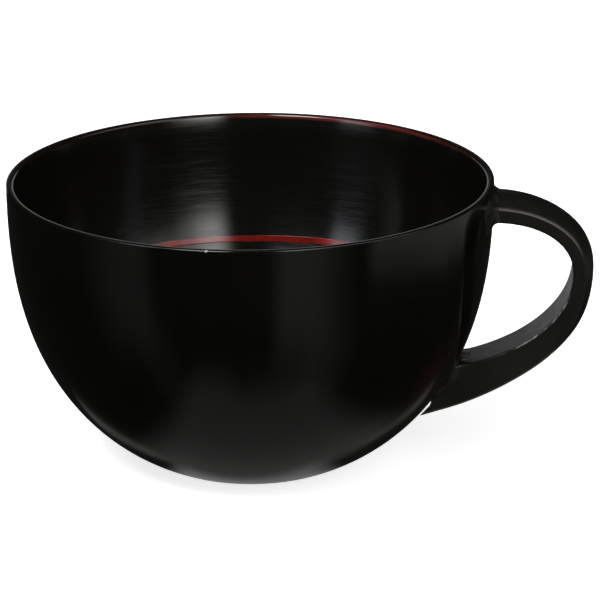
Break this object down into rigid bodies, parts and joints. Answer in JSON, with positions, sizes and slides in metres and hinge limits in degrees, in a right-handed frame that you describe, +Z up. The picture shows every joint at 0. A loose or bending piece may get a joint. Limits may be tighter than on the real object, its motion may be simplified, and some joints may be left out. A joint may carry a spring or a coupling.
{
  "type": "handled soup bowl",
  "caption": "Round-bottomed black lacquer soup bowl with a sawn wooden strip handle, a thin red ring inside and a flat foot.",
  "frame": {"origin": "centre of the flat foot, on the bowl's axis", "axes": "+Z up along the bowl's axis, +X towards the handle, +Y to the back"},
  "size_m": [0.1439, 0.12, 0.072],
  "materials": {
    "black_lacquer": "black lacquer over turned wood, glossy, red ground showing where the lip is worn",
    "handle_lacquer": "black lacquer over sawn wood, satin, brown ground showing along the worn edges",
    "lacquer_putty": "lacquer and wood-powder putty, dull and uneven",
    "red_lacquer": "vermilion lacquer, rubbed smooth",
    "bamboo": "split bamboo, bare"
  },
  "bodies": {
    "root": {"bowl_body": "black_lacquer", "handle": "handle_lacquer", "upper_joint_putty": "lacquer_putty", "lower_joint_putty": "lacquer_putty", "vermilion_band": "red_lacquer", "upper_pin_front": "bamboo", "upper_pin_back": "bamboo", "lower_pin_front": "bamboo", "lower_pin_back": "bamboo"}
  },
  "joints": []
}
